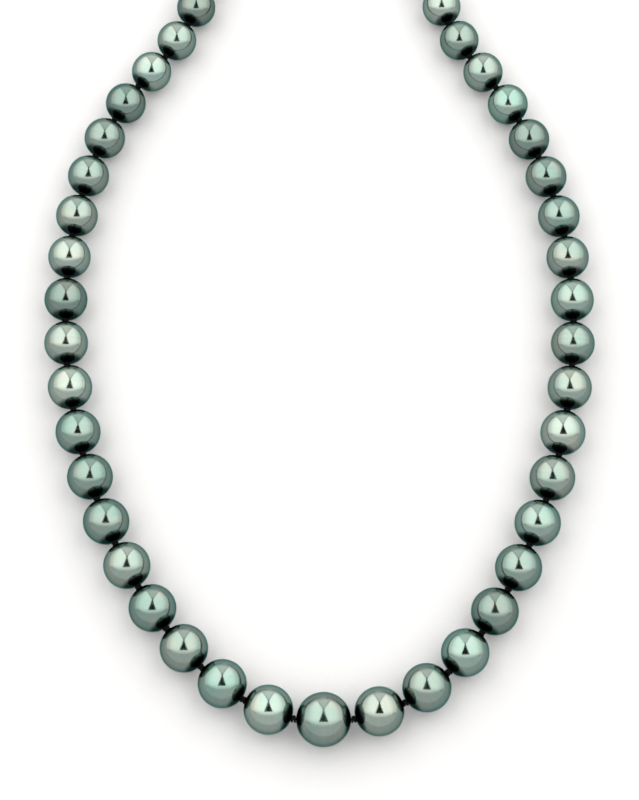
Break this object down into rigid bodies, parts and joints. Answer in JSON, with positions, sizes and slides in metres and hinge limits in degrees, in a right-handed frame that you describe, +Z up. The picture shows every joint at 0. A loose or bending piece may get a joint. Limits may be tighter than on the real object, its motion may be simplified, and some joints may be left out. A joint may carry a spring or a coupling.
{
  "type": "pearl necklace",
  "caption": "Graduated strand of round dark pearls, hand knotted on black silk, with a spring-tongue ball clasp, laid out undone.",
  "frame": {"origin": "on the surface the necklace lies on, under the middle of its box seen from above", "axes": "+Z up from the surface, +Y from the centre pearl towards the clasp, +X across the strand to the wearer's left as seen from above"},
  "size_m": [0.1182, 0.216, 0.011],
  "materials": {
    "nacre_silver_green": "gloss",
    "nacre_sea_green": "gloss",
    "nacre_dark": "gloss",
    "silk": "matte",
    "gimp": "satin",
    "white_gold": "polished"
  },
  "bodies": {
    "strand_middle": {"pearl_center": "nacre_silver_green", "silk_cord": "silk"},
    "pearl_left_01": {"pearl_left_01": "nacre_silver_green"},
    "pearl_left_02": {"pearl_left_02": "nacre_sea_green"},
    "pearl_left_03": {"pearl_left_03": "nacre_silver_green"},
    "pearl_left_04": {"pearl_left_04": "nacre_dark"},
    "pearl_left_05": {"pearl_left_05": "nacre_silver_green"},
    "pearl_left_06": {"pearl_left_06": "nacre_sea_green"},
    "pearl_left_07": {"pearl_left_07": "nacre_dark"},
    "pearl_left_08": {"pearl_left_08": "nacre_sea_green"},
    "pearl_left_09": {"pearl_left_09": "nacre_silver_green"},
    "pearl_left_10": {"pearl_left_10": "nacre_silver_green"},
    "pearl_left_11": {"pearl_left_11": "nacre_dark"},
    "pearl_left_12": {"pearl_left_12": "nacre_silver_green"},
    "pearl_left_13": {"pearl_left_13": "nacre_silver_green"},
    "pearl_left_14": {"pearl_left_14": "nacre_dark"},
    "pearl_left_15": {"pearl_left_15": "nacre_dark"},
    "pearl_left_16": {"pearl_left_16": "nacre_dark"},
    "pearl_left_17": {"pearl_left_17": "nacre_silver_green"},
    "pearl_left_18": {"pearl_left_18": "nacre_silver_green"},
    "pearl_left_19": {"pearl_left_19": "nacre_dark"},
    "pearl_left_20": {"pearl_left_20": "nacre_sea_green"},
    "pearl_left_21": {"pearl_left_21": "nacre_silver_green"},
    "pearl_left_22": {"pearl_left_22": "nacre_silver_green", "gimp_left": "gimp"},
    "pearl_right_01": {"pearl_right_01": "nacre_silver_green"},
    "pearl_right_02": {"pearl_right_02": "nacre_silver_green"},
    "pearl_right_03": {"pearl_right_03": "nacre_sea_green"},
    "pearl_right_04": {"pearl_right_04": "nacre_dark"},
    "pearl_right_05": {"pearl_right_05": "nacre_dark"},
    "pearl_right_06": {"pearl_right_06": "nacre_sea_green"},
    "pearl_right_07": {"pearl_right_07": "nacre_silver_green"},
    "pearl_right_08": {"pearl_right_08": "nacre_silver_green"},
    "pearl_right_09": {"pearl_right_09": "nacre_silver_green"},
    "pearl_right_10": {"pearl_right_10": "nacre_silver_green"},
    "pearl_right_11": {"pearl_right_11": "nacre_sea_green"},
    "pearl_right_12": {"pearl_right_12": "nacre_silver_green"},
    "pearl_right_13": {"pearl_right_13": "nacre_dark"},
    "pearl_right_14": {"pearl_right_14": "nacre_dark"},
    "pearl_right_15": {"pearl_right_15": "nacre_dark"},
    "pearl_right_16": {"pearl_right_16": "nacre_sea_green"},
    "pearl_right_17": {"pearl_right_17": "nacre_silver_green"},
    "pearl_right_18": {"pearl_right_18": "nacre_sea_green"},
    "pearl_right_19": {"pearl_right_19": "nacre_silver_green"},
    "pearl_right_20": {"pearl_right_20": "nacre_dark"},
    "pearl_right_21": {"pearl_right_21": "nacre_silver_green"},
    "pearl_right_22": {"pearl_right_22": "nacre_silver_green", "gimp_right": "gimp"},
    "clasp_socket_half": {"clasp_ball": "white_gold", "clasp_ball_ring": "white_gold"},
    "clasp_tongue_half": {"clasp_cap": "white_gold", "clasp_cap_ring": "white_gold", "clasp_tongue": "white_gold"},
    "clasp_spring": {"clasp_spring_leaf": "white_gold"}
  },
  "joints": [
    {"name": "knot_left_01", "type": "hinge", "parent": "strand_middle", "child": "pearl_left_01", "pos_m": [-0.00479, -0.10251, 0.0055], "axis": [0, 0, 1], "range_deg": [-8, 40], "deforming": ["silk_cord"]},
    {"name": "knot_left_02", "type": "hinge", "parent": "pearl_left_01", "child": "pearl_left_02", "pos_m": [-0.01494, -0.09841, 0.00498], "axis": [-0.4996, -0.8663, 0], "range_deg": [-40, 0], "deforming": ["silk_cord"]},
    {"name": "knot_left_03", "type": "hinge", "parent": "pearl_left_02", "child": "pearl_left_03", "pos_m": [-0.02351, -0.09171, 0.00495], "axis": [0, 0, -1], "range_deg": [-40, 10], "deforming": ["silk_cord"]},
    {"name": "knot_left_04", "type": "hinge", "parent": "pearl_left_03", "child": "pearl_left_04", "pos_m": [-0.03075, -0.08368, 0.00491], "axis": [0.7879, 0.6158, 0], "range_deg": [0, 40], "deforming": ["silk_cord"]},
    {"name": "knot_left_05", "type": "hinge", "parent": "pearl_left_04", "child": "pearl_left_05", "pos_m": [-0.03675, -0.07478, 0.00487], "axis": [0, 0, 1], "range_deg": [-12, 40], "deforming": ["silk_cord"]},
    {"name": "knot_left_06", "type": "hinge", "parent": "pearl_left_05", "child": "pearl_left_06", "pos_m": [-0.04184, -0.06541, 0.00484], "axis": [-0.9006, -0.4346, 0], "range_deg": [-40, 0], "deforming": ["silk_cord"]},
    {"name": "knot_left_07", "type": "hinge", "parent": "pearl_left_06", "child": "pearl_left_07", "pos_m": [-0.04598, -0.05566, 0.0048], "axis": [0, 0, -1], "range_deg": [-40, 13.5], "deforming": ["silk_cord"]},
    {"name": "knot_left_08", "type": "hinge", "parent": "pearl_left_07", "child": "pearl_left_08", "pos_m": [-0.04931, -0.04568, 0.00477], "axis": [0.96, 0.28, 0], "range_deg": [0, 40], "deforming": ["silk_cord"]},
    {"name": "knot_left_09", "type": "hinge", "parent": "pearl_left_08", "child": "pearl_left_09", "pos_m": [-0.05184, -0.03554, 0.00473], "axis": [0, 0, 1], "range_deg": [-15, 40], "deforming": ["silk_cord"]},
    {"name": "knot_left_10", "type": "hinge", "parent": "pearl_left_09", "child": "pearl_left_10", "pos_m": [-0.05355, -0.02531, 0.0047], "axis": [-0.992, -0.1263, 0], "range_deg": [-40, 0], "deforming": ["silk_cord"]},
    {"name": "knot_left_11", "type": "hinge", "parent": "pearl_left_10", "child": "pearl_left_11", "pos_m": [-0.05445, -0.01504, 0.00466], "axis": [0, 0, -1], "range_deg": [-40, 17.5], "deforming": ["silk_cord"]},
    {"name": "knot_left_12", "type": "hinge", "parent": "pearl_left_11", "child": "pearl_left_12", "pos_m": [-0.05454, -0.0048, 0.00462], "axis": [0.9995, -0.0304, 0], "range_deg": [0, 40], "deforming": ["silk_cord"]},
    {"name": "knot_left_13", "type": "hinge", "parent": "pearl_left_12", "child": "pearl_left_13", "pos_m": [-0.05383, 0.00534, 0.00459], "axis": [0, 0, 1], "range_deg": [-20, 40], "deforming": ["silk_cord"]},
    {"name": "knot_left_14", "type": "hinge", "parent": "pearl_left_13", "child": "pearl_left_14", "pos_m": [-0.05217, 0.01529, 0.00455], "axis": [-0.9773, 0.212, 0], "range_deg": [-40, 0], "deforming": ["silk_cord"]},
    {"name": "knot_left_15", "type": "hinge", "parent": "pearl_left_14", "child": "pearl_left_15", "pos_m": [-0.04957, 0.02497, 0.00452], "axis": [0, 0, -1], "range_deg": [-40, 30], "deforming": ["silk_cord"]},
    {"name": "knot_left_16", "type": "hinge", "parent": "pearl_left_15", "child": "pearl_left_16", "pos_m": [-0.04577, 0.03416, 0.00448], "axis": [0.897, -0.4421, 0], "range_deg": [0, 40], "deforming": ["silk_cord"]},
    {"name": "knot_left_17", "type": "hinge", "parent": "pearl_left_16", "child": "pearl_left_17", "pos_m": [-0.04083, 0.04272, 0.00445], "axis": [0, 0, 1], "range_deg": [-40, 40], "deforming": ["silk_cord"]},
    {"name": "knot_left_18", "type": "hinge", "parent": "pearl_left_17", "child": "pearl_left_18", "pos_m": [-0.03479, 0.05045, 0.00441], "axis": [-0.8289, 0.5594, 0], "range_deg": [-40, 0], "deforming": ["silk_cord"]},
    {"name": "knot_left_19", "type": "hinge", "parent": "pearl_left_18", "child": "pearl_left_19", "pos_m": [-0.02992, 0.05888, 0.00438], "axis": [0, 0, -1], "range_deg": [-40, 40], "deforming": ["silk_cord"]},
    {"name": "knot_left_20", "type": "hinge", "parent": "pearl_left_19", "child": "pearl_left_20", "pos_m": [-0.02646, 0.0679, 0.00434], "axis": [0.9587, -0.2843, 0], "range_deg": [0, 40], "deforming": ["silk_cord"]},
    {"name": "knot_left_21", "type": "hinge", "parent": "pearl_left_20", "child": "pearl_left_21", "pos_m": [-0.02446, 0.07728, 0.0043], "axis": [0, 0, 1], "range_deg": [-40, 40], "deforming": ["silk_cord"]},
    {"name": "knot_left_22", "type": "hinge", "parent": "pearl_left_21", "child": "pearl_left_22", "pos_m": [-0.02347, 0.08675, 0.00427], "axis": [-0.9986, 0.0525, 0], "range_deg": [-40, 0], "deforming": ["silk_cord"]},
    {"name": "knot_right_01", "type": "hinge", "parent": "strand_middle", "child": "pearl_right_01", "pos_m": [0.00716, -0.10251, 0.0055], "axis": [0, 0, 1], "range_deg": [-40, 8], "deforming": ["silk_cord"]},
    {"name": "knot_right_02", "type": "hinge", "parent": "pearl_right_01", "child": "pearl_right_02", "pos_m": [0.01751, -0.09895, 0.00498], "axis": [-0.4613, 0.8872, 0], "range_deg": [-40, 0], "deforming": ["silk_cord"]},
    {"name": "knot_right_03", "type": "hinge", "parent": "pearl_right_02", "child": "pearl_right_03", "pos_m": [0.02632, -0.09255, 0.00495], "axis": [0, 0, -1], "range_deg": [-10, 40], "deforming": ["silk_cord"]},
    {"name": "knot_right_04", "type": "hinge", "parent": "pearl_right_03", "child": "pearl_right_04", "pos_m": [0.03326, -0.08428, 0.00491], "axis": [0.814, -0.5809, 0], "range_deg": [0, 40], "deforming": ["silk_cord"]},
    {"name": "knot_right_05", "type": "hinge", "parent": "pearl_right_04", "child": "pearl_right_05", "pos_m": [0.03879, -0.07507, 0.00487], "axis": [0, 0, 1], "range_deg": [-40, 12], "deforming": ["silk_cord"]},
    {"name": "knot_right_06", "type": "hinge", "parent": "pearl_right_05", "child": "pearl_right_06", "pos_m": [0.04347, -0.06549, 0.00484], "axis": [-0.917, 0.3989, 0], "range_deg": [-40, 0], "deforming": ["silk_cord"]},
    {"name": "knot_right_07", "type": "hinge", "parent": "pearl_right_06", "child": "pearl_right_07", "pos_m": [0.04726, -0.0556, 0.0048], "axis": [0, 0, -1], "range_deg": [-13.5, 40], "deforming": ["silk_cord"]},
    {"name": "knot_right_08", "type": "hinge", "parent": "pearl_right_07", "child": "pearl_right_08", "pos_m": [0.05025, -0.04551, 0.00477], "axis": [0.9692, -0.2463, 0], "range_deg": [0, 40], "deforming": ["silk_cord"]},
    {"name": "knot_right_09", "type": "hinge", "parent": "pearl_right_08", "child": "pearl_right_09", "pos_m": [0.05242, -0.03529, 0.00473], "axis": [0, 0, 1], "range_deg": [-40, 15], "deforming": ["silk_cord"]},
    {"name": "knot_right_10", "type": "hinge", "parent": "pearl_right_09", "child": "pearl_right_10", "pos_m": [0.05387, -0.02501, 0.0047], "axis": [-0.9945, 0.1046, 0], "range_deg": [-40, 0], "deforming": ["silk_cord"]},
    {"name": "knot_right_11", "type": "hinge", "parent": "pearl_right_10", "child": "pearl_right_11", "pos_m": [0.05459, -0.01473, 0.00466], "axis": [0, 0, -1], "range_deg": [-17.5, 40], "deforming": ["silk_cord"]},
    {"name": "knot_right_12", "type": "hinge", "parent": "pearl_right_11", "child": "pearl_right_12", "pos_m": [0.05441, -0.00449, 0.00462], "axis": [0.9981, 0.0609, 0], "range_deg": [0, 40], "deforming": ["silk_cord"]},
    {"name": "knot_right_13", "type": "hinge", "parent": "pearl_right_12", "child": "pearl_right_13", "pos_m": [0.05335, 0.00561, 0.00459], "axis": [0, 0, 1], "range_deg": [-40, 20], "deforming": ["silk_cord"]},
    {"name": "knot_right_14", "type": "hinge", "parent": "pearl_right_13", "child": "pearl_right_14", "pos_m": [0.05133, 0.0155, 0.00455], "axis": [-0.9693, -0.246, 0], "range_deg": [-40, 0], "deforming": ["silk_cord"]},
    {"name": "knot_right_15", "type": "hinge", "parent": "pearl_right_14", "child": "pearl_right_15", "pos_m": [0.0484, 0.02509, 0.00452], "axis": [0, 0, -1], "range_deg": [-30, 40], "deforming": ["silk_cord"]},
    {"name": "knot_right_16", "type": "hinge", "parent": "pearl_right_15", "child": "pearl_right_16", "pos_m": [0.04444, 0.03421, 0.00448], "axis": [0.8931, 0.4499, 0], "range_deg": [0, 40], "deforming": ["silk_cord"]},
    {"name": "knot_right_17", "type": "hinge", "parent": "pearl_right_16", "child": "pearl_right_17", "pos_m": [0.0395, 0.04277, 0.00445], "axis": [0, 0, 1], "range_deg": [-40, 40], "deforming": ["silk_cord"]},
    {"name": "knot_right_18", "type": "hinge", "parent": "pearl_right_17", "child": "pearl_right_18", "pos_m": [0.03373, 0.0507, 0.00441], "axis": [-0.8479, -0.5301, 0], "range_deg": [-40, 0], "deforming": ["silk_cord"]},
    {"name": "knot_right_19", "type": "hinge", "parent": "pearl_right_18", "child": "pearl_right_19", "pos_m": [0.02916, 0.0593, 0.00438], "axis": [0, 0, -1], "range_deg": [-40, 40], "deforming": ["silk_cord"]},
    {"name": "knot_right_20", "type": "hinge", "parent": "pearl_right_19", "child": "pearl_right_20", "pos_m": [0.02602, 0.06843, 0.00434], "axis": [0.9681, 0.2507, 0], "range_deg": [0, 40], "deforming": ["silk_cord"]},
    {"name": "knot_right_21", "type": "hinge", "parent": "pearl_right_20", "child": "pearl_right_21", "pos_m": [0.02435, 0.07788, 0.0043], "axis": [0, 0, 1], "range_deg": [-40, 40], "deforming": ["silk_cord"]},
    {"name": "knot_right_22", "type": "hinge", "parent": "pearl_right_21", "child": "pearl_right_22", "pos_m": [0.02352, 0.08737, 0.00427], "axis": [-0.999, -0.0438, 0], "range_deg": [-40, 0], "deforming": ["silk_cord"]},
    {"name": "clasp_ball_swing", "type": "hinge", "parent": "pearl_left_22", "child": "clasp_socket_half", "pos_m": [-0.02347, 0.09791, 0.00426], "axis": [0, 0, 1], "range_deg": [-35, 35]},
    {"name": "clasp_tongue_swing", "type": "hinge", "parent": "pearl_right_22", "child": "clasp_tongue_half", "pos_m": [0.02352, 0.09852, 0.00426], "axis": [0, 0, 1], "range_deg": [-35, 35]},
    {"name": "thumb_tab_press", "type": "hinge", "parent": "clasp_tongue_half", "child": "clasp_spring", "pos_m": [0.02352, 0.10746, 0.00222], "axis": [1, 0, 0], "range_deg": [0, 8], "stiffness_Nm_per_rad": 0.016}
  ]
}
